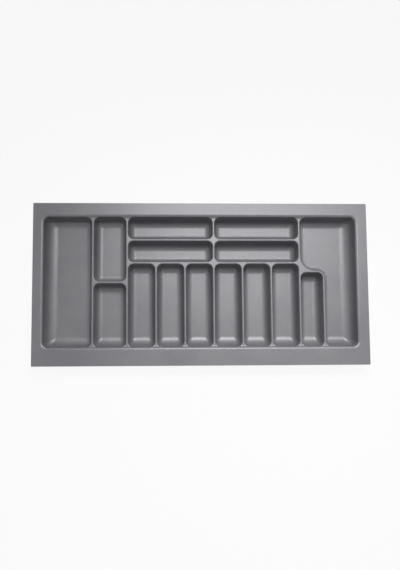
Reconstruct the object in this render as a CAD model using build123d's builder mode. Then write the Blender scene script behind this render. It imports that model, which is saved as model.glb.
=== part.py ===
"""Wide vacuum-formed cutlery tray that drops loose into a kitchen drawer.

The tray is one plastic sheet, formed into a flat flange round a sunken field of
fifteen tapered compartments. Small soft pads under the compartment floors keep it
from sliding on the drawer bottom.

Millimetres. +X runs along the drawer's width, +Y to the drawer's back, +Z up. The
origin is the centre of the overall outline, on the surface that the pads stand on.
"""

from build123d import *

import os
from math import cos, hypot, radians, sin

# Flange, from its trimmed edges to the outer compartment walls
left_flange = 33.8
right_flange = 37.5
front_flange = 60.4
back_flange = 44.5
flange_corner_radius = 3.0

# Sheet
sheet_thickness = 2.0
wall_draft = 6.0  # degrees from vertical, on every compartment wall

# Compartments, measured across their mouths level with the divider tops
divider_width = 6.5
compartment_depth = 45.0
wide_bin_width = 154.3
short_bin_width = 104.8
short_bin_length = 207.4
cutlery_slot_width = 87.7
cutlery_slot_length = 271.2
cutlery_slot_count = 6
front_row_width = 69.5
back_row_width = 71.4
spoon_slot_width = 72.6
spoon_slot_length = 242.7
side_bay_width = 102.3

# Rounding
corner_radius = 18.0  # upright corners of the compartments
cove_radius = 22.0  # where the walls run into the floors
scoop_radius = 36.0  # the same along the field's front, left and right walls
mouth_radius = 3.0
rim_radius = 9.0
foot_radius = 6.0

# The side bay's outer bend behind the spoon slot, as a share of the run beside it
web_share = 0.60
near_share = 0.06  # slack when a face is recognised by its lean
near_reach = 0.01  # slack when an edge is recognised by its height

# Bevel from the flange down to the divider tops, all round the field
divider_drop = 7.0
bevel_slope = 45.0  # degrees from vertical
bevel_setback = 2.8  # from the outer walls to the foot of the bevel

# Anti-slip pads
pad_radius = 8.0
pad_thickness = 1.5
pad_chamfer = 0.4
pad_inset = 60.0  # from a compartment's end to the middle of the pad under it

# Levels
underside_z = pad_thickness
floor_z = underside_z + sheet_thickness
divider_z = floor_z + compartment_depth
flange_z = divider_z + divider_drop

# The sunken field, level with the divider tops
divider_count = cutlery_slot_count + 3
field_length = (
    wide_bin_width
    + short_bin_width
    + cutlery_slot_count * cutlery_slot_width
    + spoon_slot_width
    + side_bay_width
    + divider_count * divider_width
)
field_depth = cutlery_slot_length + front_row_width + back_row_width + 2 * divider_width
tray_length = left_flange + field_length + right_flange
tray_depth = front_flange + field_depth + back_flange
field_left = -tray_length / 2 + left_flange
field_right = field_left + field_length
field_front = -tray_depth / 2 + front_flange
field_back = field_front + field_depth

# Columns from left to right
wide_bin_right = field_left + wide_bin_width
short_bin_left = wide_bin_right + divider_width
short_bin_right = short_bin_left + short_bin_width
slots_left = short_bin_right + divider_width
slot_pitch = cutlery_slot_width + divider_width
slots_right = slots_left + cutlery_slot_count * slot_pitch - divider_width
spoon_slot_left = slots_right + divider_width
spoon_slot_right = spoon_slot_left + spoon_slot_width
side_bay_left = spoon_slot_right + divider_width

# The rows across the back are split above the middle of the slots
row_split = (slots_left + slots_right) / 2
row_split_left = row_split - divider_width / 2
row_split_right = row_split + divider_width / 2

# Rows from front to back
short_bin_split = field_front + short_bin_length
slots_back = field_front + cutlery_slot_length
front_row_front = slots_back + divider_width
front_row_back = front_row_front + front_row_width
back_row_front = front_row_back + divider_width
spoon_slot_back = field_front + spoon_slot_length
side_bay_step = spoon_slot_back + divider_width

# Bends of the side bay: the outer one leaves a web in front of it, the inner one goes
# round the spoon slot's corner about the same centre
web_radius = web_share * (side_bay_left - spoon_slot_left)
bend_radius = corner_radius + divider_width

# Floor edges this near to the field's front, left and right belong to those walls, and
# upright edges this near to a corner climb from it
scoop_reach = 2 * scoop_radius
corner_reach = scoop_radius

# The bevel turns the field's corners about the same centres as the outer walls
bevel_corner_radius = corner_radius / sin(radians(bevel_slope))


def rectangle(left, right, front, back):
    """The four corners of a compartment's mouth."""
    return [(left, front), (right, front), (right, back), (left, back)]


mouths = [
    rectangle(field_left, wide_bin_right, field_front, field_back),
    rectangle(short_bin_left, short_bin_right, field_front, short_bin_split),
    rectangle(short_bin_left, short_bin_right, short_bin_split + divider_width, field_back),
    rectangle(slots_left, row_split_left, front_row_front, front_row_back),
    rectangle(row_split_right, slots_right, front_row_front, front_row_back),
    rectangle(slots_left, row_split_left, back_row_front, field_back),
    rectangle(row_split_right, slots_right, back_row_front, field_back),
    rectangle(spoon_slot_left, spoon_slot_right, field_front, spoon_slot_back),
]
for slot in range(cutlery_slot_count):
    slot_left = slots_left + slot * slot_pitch
    mouths.append(
        rectangle(slot_left, slot_left + cutlery_slot_width, field_front, slots_back)
    )

# The side bay turns behind the spoon slot, so its mouth is an L
web_corner = (spoon_slot_left, side_bay_step)
bend_corner = (side_bay_left, side_bay_step)
side_bay_mouth = [
    (side_bay_left, field_front),
    (field_right, field_front),
    (field_right, field_back),
    (spoon_slot_left, field_back),
    web_corner,
    bend_corner,
]
mouths.append(side_bay_mouth)

# The foot of the bevel, short of the outer walls on every side
bevel_foot = rectangle(
    field_left + bevel_setback,
    field_right - bevel_setback,
    field_front + bevel_setback,
    field_back - bevel_setback,
)


def drafted_block(outline, slope, bottom_z, grow):
    """A block that narrows downward from the flange.

    The outline is its section level with the divider tops, before every face is
    grown along its normal.
    """
    with BuildPart() as block:
        with BuildSketch(Plane.XY.offset(flange_z)):
            with BuildLine():
                Polyline(*outline, close=True)
            make_face()
            if grow:
                offset(amount=grow / cos(radians(slope)), kind=Kind.INTERSECTION)
        extrude(amount=bottom_z - grow - flange_z)
        sides = block.faces().filter_by(Axis.Z, reverse=True)
        draft(sides, Plane.XY.offset(divider_z), -slope)
    return block


def upright(block):
    """The edges that climb from a block's floor to its top."""
    return block.edges().filter_by(lambda edge: abs(edge.tangent_at(0.5).Z) > 0.5)


def upright_at(block, corner):
    """The upright edge nearest to a corner of the mouth."""
    mouth_corner = Vector(*corner, divider_z)
    return upright(block).sort_by(lambda edge: (edge @ 0.5 - mouth_corner).length)[0]


def beside(edge, corners):
    """Whether an edge's middle lies close to one of some corners, seen from above."""
    middle = edge.center()
    return any(hypot(middle.X - x, middle.Y - y) < corner_reach for x, y in corners)


def floor_edges(block):
    """The edges round a block's floor."""
    return block.faces().sort_by(Axis.Z)[0].edges()


def scooped(edge):
    """Whether a floor edge runs along the front, left or right wall of the field."""
    middle = edge.center()
    if abs(edge.tangent_at().X) > abs(edge.tangent_at().Y):
        return middle.Y < field_front + scoop_reach
    return middle.X < field_left + scoop_reach or middle.X > field_right - scoop_reach


def compartment(mouth, grow):
    """The space in a compartment, or with growth the outside of its walls."""
    block = drafted_block(mouth, wall_draft, floor_z, grow)
    corners = [corner for corner in mouth if corner not in (web_corner, bend_corner)]
    with block:
        if bend_corner in mouth:
            fillet(upright_at(block, web_corner), web_radius + grow)
            fillet(upright_at(block, bend_corner), bend_radius - grow)
        scoop_edges = floor_edges(block).filter_by(scooped)
        if scoop_edges:
            fillet(scoop_edges, scoop_radius + grow)
        cove_edges = floor_edges(block).filter_by(lambda edge: not scooped(edge))
        fillet(cove_edges, cove_radius + grow)
        corner_edges = upright(block).filter_by(lambda edge: beside(edge, corners))
        fillet(corner_edges, corner_radius + grow)
    return block.part


def lowering(grow):
    """The space over the dividers, with the bevel as its sides."""
    block = drafted_block(bevel_foot, bevel_slope, divider_z, grow)
    with block:
        fillet(upright(block), bevel_corner_radius + grow)
    return block.part


def leans(face, degrees):
    """Whether a face's middle leans back from vertical by about an angle."""
    return abs(face.normal_at().Z - sin(radians(degrees))) < near_share


os.makedirs("parts", exist_ok=True)

with BuildSketch(Plane.XY.offset(flange_z)) as flange_outline:
    RectangleRounded(tray_length, tray_depth, flange_corner_radius)
spaces = [compartment(mouth, 0) for mouth in mouths]
spaces.append(lowering(0))
grown_spaces = [compartment(mouth, sheet_thickness) for mouth in mouths]
grown_spaces.append(lowering(sheet_thickness))

# The tray's upper side, cut into a solid block
with BuildPart() as upper_side:
    extrude(flange_outline.sketch, amount=underside_z - flange_z)
    add(spaces, mode=Mode.SUBTRACT)
    # The bevel is eased first, so that each mouth's edge runs on smoothly over it
    bevels = upper_side.faces().filter_by(lambda face: leans(face, bevel_slope))
    fillet(bevels.edges().group_by(Axis.Z)[-1], rim_radius)
    bevels = upper_side.faces().filter_by(lambda face: leans(face, bevel_slope))
    foot_edges = bevels.edges().filter_by(Axis.X).filter_by(
        lambda edge: abs(edge.center().Z - divider_z) < near_reach
    )
    fillet(foot_edges, foot_radius)
    walls = upper_side.faces().filter_by(lambda face: leans(face, wall_draft))
    mouth_edges = walls.edges().filter_by(
        lambda edge: edge.bounding_box().min.Z > divider_z - mouth_radius
    )
    fillet(mouth_edges, mouth_radius)

# The sheet is what lies between that upper side and the same spaces grown by its
# thickness
with BuildPart() as tray_shell:
    extrude(flange_outline.sketch, amount=-sheet_thickness)
    add(grown_spaces)
    add(upper_side.part, mode=Mode.INTERSECT)
tray_shell.part.label = "tray_shell"
export_step(tray_shell.part, "parts/tray_shell.step")

# Pads under the middles of the wider floors, two to a column
wide_bin_middle = (field_left + wide_bin_right) / 2
short_bin_middle = (short_bin_left + short_bin_right) / 2
third_slot_middle = slots_left + 2 * slot_pitch + cutlery_slot_width / 2
sixth_slot_middle = slots_left + 5 * slot_pitch + cutlery_slot_width / 2
side_bay_middle = (side_bay_left + field_right) / 2
pad_spots = {
    "pad_wide_bin_front": (wide_bin_middle, field_front + pad_inset),
    "pad_wide_bin_back": (wide_bin_middle, field_back - pad_inset),
    "pad_short_bin_front": (short_bin_middle, field_front + pad_inset),
    "pad_short_bin_back": (short_bin_middle, field_back - pad_inset),
    "pad_third_slot_front": (third_slot_middle, field_front + pad_inset),
    "pad_third_slot_back": (third_slot_middle, slots_back - pad_inset),
    "pad_sixth_slot_front": (sixth_slot_middle, field_front + pad_inset),
    "pad_sixth_slot_back": (sixth_slot_middle, slots_back - pad_inset),
    "pad_side_bay_front": (side_bay_middle, field_front + pad_inset),
    "pad_side_bay_back": (side_bay_middle, field_back - pad_inset),
}
for pad_name, pad_spot in pad_spots.items():
    with BuildPart() as pad:
        with BuildSketch(Plane.XY):
            with Locations(pad_spot):
                Circle(pad_radius)
        extrude(amount=pad_thickness)
        chamfer(pad.edges().sort_by(Axis.Z)[0], pad_chamfer)
    pad.part.label = pad_name
    export_step(pad.part, f"parts/{pad_name}.step")
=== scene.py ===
"""Looks of the wide vacuum-formed cutlery tray: its smooth sheet, satin finish and light."""

import math

import bmesh
import bpy
from mathutils import Euler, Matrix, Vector
from mathutils.geometry import delaunay_2d_cdt


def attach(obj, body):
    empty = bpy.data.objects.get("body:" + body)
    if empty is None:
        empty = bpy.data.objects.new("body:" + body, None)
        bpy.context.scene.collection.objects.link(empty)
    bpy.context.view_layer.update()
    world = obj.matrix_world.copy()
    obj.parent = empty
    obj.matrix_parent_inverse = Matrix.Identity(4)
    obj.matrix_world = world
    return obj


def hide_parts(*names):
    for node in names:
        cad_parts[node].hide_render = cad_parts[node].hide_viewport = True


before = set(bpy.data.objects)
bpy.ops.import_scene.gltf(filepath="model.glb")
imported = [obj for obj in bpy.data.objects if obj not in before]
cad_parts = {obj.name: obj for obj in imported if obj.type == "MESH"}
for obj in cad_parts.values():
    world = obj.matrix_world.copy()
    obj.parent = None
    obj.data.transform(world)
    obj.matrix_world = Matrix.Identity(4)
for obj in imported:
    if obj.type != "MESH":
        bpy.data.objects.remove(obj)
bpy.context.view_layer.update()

MM = 0.001

# The tray's layout in millimetres, in the shared frame: the sheet and its levels
SHEET = 2.0
DRAFT = math.radians(6.0)
LEAN = math.tan(DRAFT)
STEEP = math.pi / 2 - DRAFT
FLOOR_Z = 3.5
DIVIDER_Z = 48.5
FLANGE_Z = 55.5

# The flange's outline, and the sunken field in it
HALF_LENGTH = 545.0
HALF_DEPTH = 265.0
FLANGE_CORNER = 3.0
LEFT_FLANGE = 33.8
FRONT_FLANGE = 60.4
FIELD_LENGTH = 1018.7
FIELD_DEPTH = 425.1
FIELD_LEFT = -HALF_LENGTH + LEFT_FLANGE
FIELD_RIGHT = FIELD_LEFT + FIELD_LENGTH
FIELD_FRONT = -HALF_DEPTH + FRONT_FLANGE
FIELD_BACK = FIELD_FRONT + FIELD_DEPTH
FIELD_MIDDLE = Vector(((FIELD_LEFT + FIELD_RIGHT) / 2, (FIELD_FRONT + FIELD_BACK) / 2))

# Compartments, measured across their mouths
DIVIDER = 6.5
WIDE_BIN_WIDTH = 154.3
SHORT_BIN_WIDTH = 104.8
SHORT_BIN_LENGTH = 207.4
SLOT_COUNT = 6
SLOT_WIDTH = 87.7
SLOT_LENGTH = 271.2
PITCH = SLOT_WIDTH + DIVIDER
FRONT_ROW_WIDTH = 69.5
SPOON_SLOT_WIDTH = 72.6
SPOON_SLOT_LENGTH = 242.7

# Rounding: upright corners, coves round the floors, the side bay's two bends, and the
# edges of the mouths
CORNER = 18.0
COVE = 22.0
SCOOP = 36.0
WEB = 47.46
BEND = CORNER + DIVIDER
MOUTH = 3.0

# The bevel from the flange to the divider tops, measured in from the outer walls
BEVEL_TOP = -4.2
BEVEL_FOOT = 2.8
BEVEL_SLOPE = math.radians(45.0)
RIM = 9.0
FOOT = 6.0
HALF_TURN = math.tan(BEVEL_SLOPE / 2)
SLANT = math.sin(BEVEL_SLOPE)
RIM_START = BEVEL_TOP - RIM * HALF_TURN
FOOT_END = BEVEL_FOOT + FOOT * HALF_TURN

# The fine bevels along the flange's trimmed edge
TRIM = 0.25

# How finely the curves are divided
CORNER_STEPS = 16
LONG_CORNER_STEPS = 24
COVE_STEPS = 20
MOUTH_STEPS = 6
RIM_STEPS = 7
OUTLINE_STEPS = 12
RIM_SPACING = 24.0
TRIM_SPACING = 60.0
SAME_PLACE = 0.001
SLOPE_REACH = 0.1

# Points where a divider meets the field's outline: their distances in from it, their
# spacing across the divider, and the room they leave round the mouths
FOOT_INSETS = (-0.5, 0.4, 1.1, 1.9, 2.8, 3.8, 5.3, 7.5)
FOOT_SPACING = 2.3
FOOT_REACH = 6
FOOT_ROOM = 0.7


# Layout

def rectangle(left, right, front, back):
    """The corners of a mouth, anticlockwise from the front left."""
    return [(left, front), (right, front), (right, back), (left, back)]


def plain_mouth(left, right, front, back):
    """A rectangular mouth with its corner radii, and the cove radius of every side."""
    coves = [
        SCOOP if front == FIELD_FRONT else COVE,
        COVE,
        COVE,
        SCOOP if left == FIELD_LEFT else COVE,
    ]
    return rectangle(left, right, front, back), [CORNER] * 4, coves


def compartment_mouths():
    """Every compartment's mouth, level with the divider tops, and its rounding."""
    wide_right = FIELD_LEFT + WIDE_BIN_WIDTH
    short_left = wide_right + DIVIDER
    short_right = short_left + SHORT_BIN_WIDTH
    short_split = FIELD_FRONT + SHORT_BIN_LENGTH
    slots_left = short_right + DIVIDER
    slots_right = slots_left + SLOT_COUNT * PITCH - DIVIDER
    slots_back = FIELD_FRONT + SLOT_LENGTH
    split = (slots_left + slots_right) / 2
    row_front = slots_back + DIVIDER
    row_back = row_front + FRONT_ROW_WIDTH
    spoon_left = slots_right + DIVIDER
    spoon_right = spoon_left + SPOON_SLOT_WIDTH
    spoon_back = FIELD_FRONT + SPOON_SLOT_LENGTH
    bay_left = spoon_right + DIVIDER
    bay_step = spoon_back + DIVIDER

    mouths = [
        plain_mouth(FIELD_LEFT, wide_right, FIELD_FRONT, FIELD_BACK),
        plain_mouth(short_left, short_right, FIELD_FRONT, short_split),
        plain_mouth(short_left, short_right, short_split + DIVIDER, FIELD_BACK),
        plain_mouth(spoon_left, spoon_right, FIELD_FRONT, spoon_back),
    ]
    for front, back in ((row_front, row_back), (row_back + DIVIDER, FIELD_BACK)):
        mouths.append(plain_mouth(slots_left, split - DIVIDER / 2, front, back))
        mouths.append(plain_mouth(split + DIVIDER / 2, slots_right, front, back))
    for slot in range(SLOT_COUNT):
        left = slots_left + slot * PITCH
        mouths.append(plain_mouth(left, left + SLOT_WIDTH, FIELD_FRONT, slots_back))
    bay = [
        (bay_left, FIELD_FRONT),
        (FIELD_RIGHT, FIELD_FRONT),
        (FIELD_RIGHT, FIELD_BACK),
        (spoon_left, FIELD_BACK),
        (spoon_left, bay_step),
        (bay_left, bay_step),
    ]
    coves = [SCOOP, SCOOP, COVE, COVE, COVE, COVE]
    mouths.append((bay, [CORNER] * 4 + [WEB, BEND], coves))
    return mouths


# Upper side of the flange and the dividers

def rim_distance(x, y):
    """How far a point lies inside the field's rounded outline."""
    across = abs(x - FIELD_MIDDLE.x) - FIELD_LENGTH / 2 + CORNER
    along = abs(y - FIELD_MIDDLE.y) - FIELD_DEPTH / 2 + CORNER
    beyond = math.hypot(max(across, 0.0), max(along, 0.0)) + min(max(across, along), 0.0)
    return CORNER - beyond


def top_height(x, y):
    """The height of the sheet's upper side between the compartments."""
    inset = rim_distance(x, y)
    if inset <= RIM_START:
        return FLANGE_Z
    if inset < RIM_START + RIM * SLANT:
        return FLANGE_Z - RIM + math.sqrt(RIM**2 - (inset - RIM_START) ** 2)
    if inset < FOOT_END - FOOT * SLANT:
        return DIVIDER_Z + BEVEL_FOOT - inset
    if inset < FOOT_END:
        return DIVIDER_Z + FOOT - math.sqrt(FOOT**2 - (FOOT_END - inset) ** 2)
    return DIVIDER_Z


def top_normal(x, y):
    """The upper side's normal between the compartments, from its slope."""
    rise_x = top_height(x + SLOPE_REACH, y) - top_height(x - SLOPE_REACH, y)
    rise_y = top_height(x, y + SLOPE_REACH) - top_height(x, y - SLOPE_REACH)
    return Vector((-rise_x, -rise_y, 2 * SLOPE_REACH)).normalized()


# Walls and floors

def ball_place(cove, level):
    """Where the ball that rounds the upright corners touches a side.

    Given the height of the ball's centre, the result is how far inside the side's mouth
    line that centre lies, and the tilt of the side's normal where they touch.
    """
    slack = cove - CORNER
    fall = FLOOR_Z + cove - level
    if fall <= slack * math.cos(STEEP):
        touch = level - CORNER * math.cos(STEEP)
        return (DIVIDER_Z - touch) * LEAN + CORNER * math.sin(STEEP), STEEP
    tilt = math.acos(min(fall / slack, 1.0))
    cove_top = FLOOR_Z + cove * (1.0 - math.cos(STEEP))
    axis = (DIVIDER_Z - cove_top) * LEAN + cove * math.sin(STEEP)
    return axis - slack * math.sin(tilt), tilt


def mouth_corners(mouth):
    """A mouth's corners, each with the outward directions and coves of its two sides, its
    radius, and 1 where the compartment's outline is convex or -1 where it turns back."""
    corners, radii, coves = mouth
    results = []
    for index, corner in enumerate(corners):
        here = Vector(corner)
        arriving = (here - Vector(corners[index - 1])).normalized()
        leaving = (Vector(corners[(index + 1) % len(corners)]) - here).normalized()
        first = Vector((arriving.y, -arriving.x))
        last = Vector((leaving.y, -leaving.x))
        turn = 1.0 if arriving.cross(leaving) > 0.0 else -1.0
        sides = (coves[index - 1], coves[index])
        results.append((here, first, last, sides, radii[index], turn))
    return results


def spokes(first, last, radius):
    """Outward directions from one side of a corner to the other."""
    steps = CORNER_STEPS if radius == CORNER else LONG_CORNER_STEPS
    for step in range(steps + 1):
        angle = math.pi / 2 * step / steps
        yield math.cos(angle) * first + math.sin(angle) * last


def wall_contour(mouth, height):
    """A compartment's outline on its plane walls: (place, outward direction)."""
    inset = (DIVIDER_Z - height) * LEAN
    points = []
    for here, first, last, _, radius, turn in mouth_corners(mouth):
        arc = turn * radius * math.cos(DRAFT)
        centre = here - (inset + arc) * (first + last)
        points += [(centre + arc * spoke, spoke) for spoke in spokes(first, last, radius)]
    return points


def level_ring(mouth, level):
    """A compartment's points where the ball at a level touches it: (place, normal)."""
    points = []
    for here, first, last, sides, radius, turn in mouth_corners(mouth):
        (reach_one, tilt_one), (reach_two, tilt_two) = (
            ball_place(cove, level) for cove in sides
        )
        if radius == CORNER:
            centre = Vector((*(here - reach_one * first - reach_two * last), level))
            one = Vector((*(math.sin(tilt_one) * first), -math.cos(tilt_one)))
            two = Vector((*(math.sin(tilt_two) * last), -math.cos(tilt_two)))
            for step in range(CORNER_STEPS + 1):
                facing = one.slerp(two, step / CORNER_STEPS)
                points.append((centre + CORNER * facing, -facing))
            continue
        inset = reach_one - CORNER * math.sin(tilt_one)
        height = level - CORNER * math.cos(tilt_one)
        narrowing = COVE * (math.cos(DRAFT) - math.sin(tilt_one))
        arc = turn * radius * math.cos(DRAFT) - narrowing
        centre = here - (inset + arc) * (first + last)
        for spoke in spokes(first, last, radius):
            tilt = tilt_one
            if tilt_one == STEEP:
                tilt = math.atan2(1.0, LEAN * spoke.dot(first + last))
            normal = Vector((*(-math.sin(tilt) * spoke), math.cos(tilt)))
            points.append((Vector((*(centre + arc * spoke), height)), normal))
    return points


def mouth_edge(upper, lower):
    """The rounded edge over one point of a wall, from the sheet's top down.

    The point is given level with the divider tops and 1 mm lower. Each result is
    (place, normal).
    """
    base, spoke = upper
    drift = base - lower[0]
    height = DIVIDER_Z
    # Where the wall's line meets the sheet's top, closer with every round
    for _ in range(5):
        meeting = base + (height - DIVIDER_Z) * drift
        height = top_height(*meeting)
    meeting = base + (height - DIVIDER_Z) * drift
    wall_tilt = math.atan2(1.0, drift.dot(spoke))
    ahead, behind = meeting + SLOPE_REACH * spoke, meeting - SLOPE_REACH * spoke
    top_tilt = math.atan2(top_height(*ahead) - top_height(*behind), 2 * SLOPE_REACH)
    top_facing = Vector((-math.sin(top_tilt), math.cos(top_tilt)))
    wall_facing = Vector((-math.sin(wall_tilt), math.cos(wall_tilt)))
    reach = MOUTH / (1.0 + top_facing.dot(wall_facing))
    centre = -reach * (top_facing + wall_facing)

    results = []
    for step in range(MOUTH_STEPS + 1):
        tilt = top_tilt + (wall_tilt - top_tilt) * step / MOUTH_STEPS
        facing = Vector((-math.sin(tilt), math.cos(tilt)))
        across, rise = centre + MOUTH * facing
        spot = meeting + across * spoke
        if step == 0:
            upward = top_normal(*spot)
            sideways = Vector((-spoke.y, spoke.x, 0.0))
            tangential = upward.dot(sideways)
            results.append((Vector((*spot, top_height(*spot))), upward))
            continue
        normal = Vector((*(facing.x * spoke), facing.y))
        normal += (1.0 - step / MOUTH_STEPS) * tangential * sideways
        results.append((Vector((*spot, height + rise)), normal.normalized()))
    return results


def ring_levels(coves):
    """The levels of a compartment's rings below the mouth's edge, from the top down."""
    largest = max(coves)
    slack = largest - CORNER
    highest = DIVIDER_Z - MOUTH
    cove_level = FLOOR_Z + largest - slack * math.cos(STEEP)
    levels = [highest, (highest + cove_level) / 2]
    for step in range(COVE_STEPS + 1):
        tilt = STEEP * (1.0 - step / COVE_STEPS)
        levels.append(FLOOR_Z + largest - slack * math.cos(tilt))
    return levels


class Sheet:
    """The upper side of the sheet: its points, their normals and its faces."""

    def __init__(self):
        self.points = []
        self.normals = []
        self.faces = []

    def add_point(self, place, normal):
        self.points.append(place)
        self.normals.append(normal)
        return len(self.points) - 1

    def add_top_point(self, x, y):
        return self.add_point(Vector((x, y, top_height(x, y))), top_normal(x, y))

    def add_face(self, indices):
        kept = [index for spot, index in enumerate(indices) if index != indices[spot - 1]]
        if len(kept) > 2:
            self.faces.append(kept)

    def add_ring(self, places):
        """Adds a ring of (place, normal), with one point where several coincide."""
        loop = []
        for place, normal in places:
            if loop and (self.points[loop[-1]] - place).length < SAME_PLACE:
                loop.append(loop[-1])
            else:
                loop.append(self.add_point(place, normal))
        return loop


def add_compartment(sheet, mouth):
    """Adds a compartment's walls and floor, and returns the loop round its mouth."""
    upper = wall_contour(mouth, DIVIDER_Z)
    lower = wall_contour(mouth, DIVIDER_Z - 1.0)
    edges = [mouth_edge(*pair) for pair in zip(upper, lower)]
    rings = [list(ring) for ring in zip(*edges)]
    rings += [level_ring(mouth, level) for level in ring_levels(mouth[2])]
    loops = [sheet.add_ring(ring) for ring in rings]
    for higher, deeper in zip(loops, loops[1:]):
        for index in range(len(higher)):
            after = (index + 1) % len(higher)
            sheet.add_face([higher[index], higher[after], deeper[after], deeper[index]])
    sheet.add_face(loops[-1])
    return loops[0]


# Flange and divider tops

def outline_loop(sheet, half_length, half_depth, middle, radius, spacing):
    """A rounded rectangle of points on the sheet's top, with points along its sides."""
    places = []
    for across, along in ((1, 1), (-1, 1), (-1, -1), (1, -1)):
        centre = middle + Vector(
            (across * (half_length - radius), along * (half_depth - radius))
        )
        start = math.atan2(along, across) - math.pi / 4
        for step in range(OUTLINE_STEPS + 1):
            turn = start + math.pi / 2 * step / OUTLINE_STEPS
            places.append(centre + radius * Vector((math.cos(turn), math.sin(turn))))
    loop = []
    for here, after in zip(places, places[1:] + places[:1]):
        parts = max(round((after - here).length / spacing), 1)
        for part in range(parts):
            spot = here.lerp(after, part / parts)
            loop.append(sheet.add_top_point(spot.x, spot.y))
    return loop


def rim_loops(sheet):
    """Loops along the rim's rounding, from the flange to the bevel."""
    loops = []
    for step in range(RIM_STEPS + 1):
        inset = RIM_START + RIM * math.sin(BEVEL_SLOPE * step / RIM_STEPS)
        loops.append(
            outline_loop(
                sheet,
                FIELD_LENGTH / 2 - inset,
                FIELD_DEPTH / 2 - inset,
                FIELD_MIDDLE,
                CORNER - inset,
                RIM_SPACING,
            )
        )
    return loops


def inside(loop, x, y):
    """Whether a point lies inside a loop of points."""
    crossings = 0
    for here, there in zip(loop, loop[1:] + loop[:1]):
        if (here.y > y) != (there.y > y):
            if x < here.x + (y - here.y) / (there.y - here.y) * (there.x - here.x):
                crossings += 1
    return crossings % 2 == 1


def clear_of(outline, x, y, reach):
    """Whether a point lies outside an outline and not close to its points."""
    xs = [spot.x for spot in outline]
    ys = [spot.y for spot in outline]
    if not (min(xs) - reach < x < max(xs) + reach and min(ys) - reach < y < max(ys) + reach):
        return True
    if inside(outline, x, y):
        return False
    return all(math.hypot(spot.x - x, spot.y - y) > reach for spot in outline)


def foot_points(sheet, outlines):
    """Points on the bevel and its foot, where the dividers meet the field's outline."""
    added = []
    for corners, _, _ in compartment_mouths():
        for x, y in corners[1:3]:
            if y not in (FIELD_FRONT, FIELD_BACK) or x == FIELD_RIGHT:
                continue
            inward = 1.0 if y == FIELD_FRONT else -1.0
            for inset in FOOT_INSETS:
                for step in range(-FOOT_REACH, FOOT_REACH + 1):
                    spot = x + DIVIDER / 2 + FOOT_SPACING * step, y + inward * inset
                    if all(clear_of(outline, *spot, FOOT_ROOM) for outline in outlines):
                        added.append(sheet.add_top_point(*spot))
    return added


def add_top(sheet, loops, mouth_loops):
    """Fills the flange, the rim and the divider tops between the mouths."""
    outlines = [[sheet.points[index] for index in loop] for loop in mouth_loops]
    indices = foot_points(sheet, outlines)
    edges = []
    owner = {index: -1 for index in indices}
    for number, loop in enumerate(mouth_loops + loops):
        first = len(indices)
        indices += loop
        count = len(loop)
        edges += [(first + step, first + (step + 1) % count) for step in range(count)]
        owner.update({index: number for index in loop})
    flat = [sheet.points[index].to_2d() for index in indices]
    places, _, triangles, sources, _, _ = delaunay_2d_cdt(flat, edges, [], 0, 1e-4)
    for triangle in triangles:
        corners = [indices[sources[corner][0]] for corner in triangle]
        owners = {owner[corner] for corner in corners}
        number = owners.pop()
        if not owners and 0 <= number < len(mouth_loops):
            middle = sum((places[corner] for corner in triangle), Vector((0.0, 0.0))) / 3
            if inside(outlines[number], middle.x, middle.y):
                continue
        one, two, three = (sheet.points[corner].to_2d() for corner in corners)
        if (two - one).cross(three - one) < 0.0:
            corners.reverse()
        sheet.add_face(corners)


def build_sheet():
    """The tray's sheet as one mesh: upper side, underside and trimmed edge."""
    sheet = Sheet()
    trim = outline_loop(
        sheet,
        HALF_LENGTH - TRIM,
        HALF_DEPTH - TRIM,
        Vector((0.0, 0.0)),
        FLANGE_CORNER - TRIM,
        TRIM_SPACING,
    )
    loops = [trim] + rim_loops(sheet)
    mouth_loops = [add_compartment(sheet, mouth) for mouth in compartment_mouths()]
    add_top(sheet, loops, mouth_loops)

    count = len(sheet.points)
    unders = [spot - SHEET * normal for spot, normal in zip(sheet.points, sheet.normals)]
    places = sheet.points + unders
    normals = sheet.normals + [-normal for normal in sheet.normals]
    faces = list(sheet.faces)
    faces += [[index + count for index in reversed(face)] for face in sheet.faces]
    smooth_count = len(faces)

    # The trimmed edge stands between two fine bevels
    edge = []
    for level in (FLANGE_Z - TRIM, FLANGE_Z - SHEET + TRIM):
        edge.append([])
        for index in trim:
            x, y, _ = sheet.points[index]
            across = x - math.copysign(min(abs(x), HALF_LENGTH - FLANGE_CORNER), x)
            along = y - math.copysign(min(abs(y), HALF_DEPTH - FLANGE_CORNER), y)
            outward = Vector((across, along, 0.0)).normalized() * TRIM
            edge[-1].append(len(places))
            places.append(Vector((x, y, level)) + outward)
            normals.append(outward.normalized())
    rows = [trim, edge[0], edge[1], [index + count for index in trim]]
    for above, below in zip(rows, rows[1:]):
        for step in range(len(trim)):
            after = (step + 1) % len(trim)
            faces.append([above[step], below[step], below[after], above[after]])

    mesh = bpy.data.meshes.new("formed_sheet")
    mesh.from_pydata([MM * place for place in places], [], faces)
    mesh.update()
    corner_normals = []
    for face in mesh.polygons:
        face.use_smooth = True
        for index in face.vertices:
            flat_side = face.index >= smooth_count
            corner_normals.append(face.normal.copy() if flat_side else normals[index])
    mesh.normals_split_custom_set(corner_normals)
    tray = bpy.data.objects.new("formed_sheet", mesh)
    bpy.context.scene.collection.objects.link(tray)
    return tray


# Materials

def new_material(name):
    """A new material with its nodes, its links and its shader."""
    material = bpy.data.materials.new(name)
    material.use_nodes = True
    nodes = material.node_tree.nodes
    return material, nodes, material.node_tree.links, nodes["Principled BSDF"]


def add_node(nodes, kind, **sockets):
    """Adds a node and sets its named inputs."""
    node = nodes.new(kind)
    for name, value in sockets.items():
        node.inputs[name.replace("_", " ")].default_value = value
    return node


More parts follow.
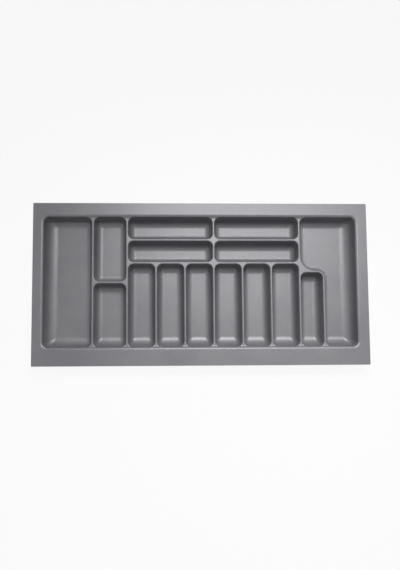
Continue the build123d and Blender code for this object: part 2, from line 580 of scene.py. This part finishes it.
def ramp(nodes, links, source, stops):
    """A colour ramp on a value, from (position, colour) stops."""
    node = nodes.new("ShaderNodeValToRGB")
    elements = node.color_ramp.elements
    while len(elements) < len(stops):
        elements.new(0.5)
    for element, (position, colour) in zip(elements, stops):
        element.position = position
        element.color = (*colour, 1.0)
    links.new(source, node.inputs["Fac"])
    return node.outputs["Color"]


def blend(nodes, links, kind, share, first, second):
    """Mixes two colours. The share is a number or a socket."""
    node = nodes.new("ShaderNodeMix")
    node.data_type = "RGBA"
    node.blend_type = kind
    if isinstance(share, float):
        node.inputs["Factor"].default_value = share
    else:
        links.new(share, node.inputs["Factor"])
    links.new(first, node.inputs["A"])
    links.new(second, node.inputs["B"])
    return node.outputs["Result"]


def span(nodes, links, source, low, high):
    """Maps a value from the whole 0 to 1 onto a narrower span."""
    node = add_node(nodes, "ShaderNodeMapRange", To_Min=low, To_Max=high)
    links.new(source, node.inputs["Value"])
    return node.outputs["Result"]


def bump(nodes, links, height, distance, strength, below=None):
    """A bumped normal, on top of another one where that is given."""
    node = add_node(nodes, "ShaderNodeBump", Strength=strength, Distance=distance)
    links.new(height, node.inputs["Height"])
    if below is not None:
        links.new(below, node.inputs["Normal"])
    return node.outputs["Normal"]


def tray_plastic():
    """Satin grey polystyrene with fine metallic pigment and a light moulded grain."""
    material, nodes, links, shader = new_material("tray_plastic")
    place = nodes.new("ShaderNodeTexCoord").outputs["Object"]

    cloud = add_node(nodes, "ShaderNodeTexNoise", Scale=7.0, Detail=3.0, Roughness=0.55)
    flake = add_node(nodes, "ShaderNodeTexVoronoi", Scale=1400.0)
    grain = add_node(nodes, "ShaderNodeTexNoise", Scale=1100.0, Detail=2.0, Roughness=0.5)
    swell = add_node(nodes, "ShaderNodeTexNoise", Scale=16.0, Detail=1.0, Roughness=0.4)
    for texture in (cloud, flake, grain, swell):
        links.new(place, texture.inputs["Vector"])

    # Fine scuffs from cutlery, drawn out along the slots
    drawn = add_node(nodes, "ShaderNodeMapping", Scale=(260.0, 14.0, 60.0))
    links.new(place, drawn.inputs["Vector"])
    scuff = add_node(nodes, "ShaderNodeTexNoise", Scale=1.0, Detail=4.0, Roughness=0.7)
    links.new(drawn.outputs["Vector"], scuff.inputs["Vector"])
    scuffs = ramp(
        nodes, links, scuff.outputs["Fac"], [(0.60, (0, 0, 0)), (0.74, (1, 1, 1))]
    )

    tone = ramp(
        nodes,
        links,
        cloud.outputs["Fac"],
        [(0.30, (0.205, 0.204, 0.216)), (0.70, (0.238, 0.238, 0.246))],
    )
    speck = ramp(
        nodes,
        links,
        flake.outputs["Color"],
        [(0.0, (0.88, 0.88, 0.88)), (0.85, (1.0, 1.0, 1.0)), (1.0, (1.22, 1.22, 1.22))],
    )
    pigment = blend(nodes, links, "MULTIPLY", 0.7, tone, speck)
    links.new(pigment, shader.inputs["Base Color"])

    even = span(nodes, links, cloud.outputs["Fac"], 0.34, 0.44)
    rough = add_node(nodes, "ShaderNodeMath")
    rough.operation = "MULTIPLY_ADD"
    links.new(scuffs, rough.inputs[0])
    rough.inputs[1].default_value = 0.06
    links.new(even, rough.inputs[2])
    links.new(rough.outputs["Value"], shader.inputs["Roughness"])

    waves = bump(nodes, links, swell.outputs["Fac"], 0.0012, 0.35)
    pores = bump(nodes, links, grain.outputs["Fac"], 0.00008, 0.35, waves)
    lines = bump(nodes, links, scuffs, 0.00003, 0.3, pores)
    links.new(lines, shader.inputs["Normal"])

    shader.inputs["Metallic"].default_value = 0.28
    shader.inputs["Specular IOR Level"].default_value = 0.42
    return material


def pad_rubber():
    """Soft matt black elastomer with a slightly dusty face."""
    material, nodes, links, shader = new_material("pad_rubber")
    place = nodes.new("ShaderNodeTexCoord").outputs["Object"]
    dust = add_node(nodes, "ShaderNodeTexNoise", Scale=240.0, Detail=4.0, Roughness=0.65)
    grit = add_node(nodes, "ShaderNodeTexNoise", Scale=2200.0, Detail=2.0, Roughness=0.6)
    for texture in (dust, grit):
        links.new(place, texture.inputs["Vector"])
    tone = ramp(
        nodes,
        links,
        dust.outputs["Fac"],
        [(0.35, (0.022, 0.022, 0.023)), (0.75, (0.060, 0.059, 0.057))],
    )
    links.new(tone, shader.inputs["Base Color"])
    links.new(span(nodes, links, dust.outputs["Fac"], 0.62, 0.82), shader.inputs["Roughness"])
    links.new(bump(nodes, links, grit.outputs["Fac"], 0.0001, 0.4), shader.inputs["Normal"])
    return material


def seen_directly(nodes, links):
    """1 for what the camera sees, straight, mirrored or through something clear."""
    rays = nodes.new("ShaderNodeLightPath")
    seen = rays.outputs["Is Camera Ray"]
    for kind in ("Is Glossy Ray", "Is Transmission Ray"):
        either = nodes.new("ShaderNodeMath")
        either.operation = "MAXIMUM"
        links.new(seen, either.inputs[0])
        links.new(rays.outputs[kind], either.inputs[1])
        seen = either.outputs["Value"]
    return seen


def pale_floor():
    """White to the camera, but still darkened by the tray's shadow."""
    material, nodes, links, shader = new_material("pale_floor")
    shader.inputs["Base Color"].default_value = (0.86, 0.86, 0.86, 1.0)
    shader.inputs["Roughness"].default_value = 0.9
    glow = add_node(nodes, "ShaderNodeEmission", Color=(1.0, 1.0, 1.0, 1.0), Strength=1.0)
    share = nodes.new("ShaderNodeMath")
    share.operation = "MULTIPLY"
    share.inputs[1].default_value = 0.92
    links.new(seen_directly(nodes, links), share.inputs[0])
    mix = nodes.new("ShaderNodeMixShader")
    links.new(share.outputs["Value"], mix.inputs["Fac"])
    links.new(shader.outputs["BSDF"], mix.inputs[1])
    links.new(glow.outputs["Emission"], mix.inputs[2])
    links.new(mix.outputs["Shader"], nodes["Material Output"].inputs["Surface"])
    return material


# Floor, light and camera

def build_floor():
    """A pale floor at the height the pads stand on, 12 m across."""
    mesh = bpy.data.meshes.new("floor")
    shape = bmesh.new()
    bmesh.ops.create_grid(shape, x_segments=1, y_segments=1, size=6.0)
    shape.to_mesh(mesh)
    shape.free()
    mesh.materials.append(pale_floor())
    floor = bpy.data.objects.new("floor", mesh)
    bpy.context.scene.collection.objects.link(floor)


def add_lamp(name, place, target, size, power, spread):
    """A rectangular softbox that faces a target."""
    data = bpy.data.lights.new(name, "AREA")
    data.shape = "RECTANGLE"
    data.size, data.size_y = size
    data.energy = power
    data.spread = spread
    lamp = bpy.data.objects.new(name, data)
    lamp.location = place
    lamp.rotation_euler = (Vector(target) - Vector(place)).to_track_quat("-Z", "Y").to_euler()
    bpy.context.scene.collection.objects.link(lamp)


def light_scene():
    """A dim room that looks white, and one wide softbox over the tray's back."""
    world = bpy.data.worlds.new("studio")
    bpy.context.scene.world = world
    world.use_nodes = True
    nodes, links = world.node_tree.nodes, world.node_tree.links
    dim = nodes["Background"]
    dim.inputs["Color"].default_value = (0.88, 0.89, 1.0, 1.0)
    dim.inputs["Strength"].default_value = 0.23
    white = add_node(nodes, "ShaderNodeBackground", Color=(1.0, 1.0, 1.0, 1.0), Strength=1.0)
    mix = nodes.new("ShaderNodeMixShader")
    links.new(seen_directly(nodes, links), mix.inputs["Fac"])
    links.new(dim.outputs["Background"], mix.inputs[1])
    links.new(white.outputs["Background"], mix.inputs[2])
    links.new(mix.outputs["Shader"], nodes["World Output"].inputs["Surface"])
    add_lamp(
        "ceiling_light",
        place=(0.36, 0.72, 1.60),
        target=(0.32, -0.90, 0.0),
        size=(1.50, 0.72),
        power=10.7,
        spread=math.radians(88.0),
    )


def add_camera():
    """The photograph's view: from above the middle of the front half, almost straight down."""
    data = bpy.data.cameras.new("camera")
    data.sensor_width = 36.0
    data.lens = 27.8
    data.shift_x = 0.0263
    data.shift_y = 0.0789
    data.clip_start = 0.05
    data.clip_end = 50.0
    camera = bpy.data.objects.new("camera", data)
    camera.location = (-0.0919, -0.2356, 1.4678)
    turn = (math.radians(3.470), math.radians(-1.472), math.radians(-0.323))
    camera.rotation_euler = Euler(turn, "XYZ")
    bpy.context.scene.collection.objects.link(camera)
    bpy.context.scene.camera = camera


bpy.context.scene.view_settings.view_transform = "Standard"

tray = build_sheet()
tray.data.materials.append(tray_plastic())
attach(tray, "root")
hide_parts("tray_shell")

rubber = pad_rubber()
for name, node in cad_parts.items():
    if name.startswith("pad_"):
        node.material_slots[0].material = rubber

build_floor()
light_scene()
add_camera()
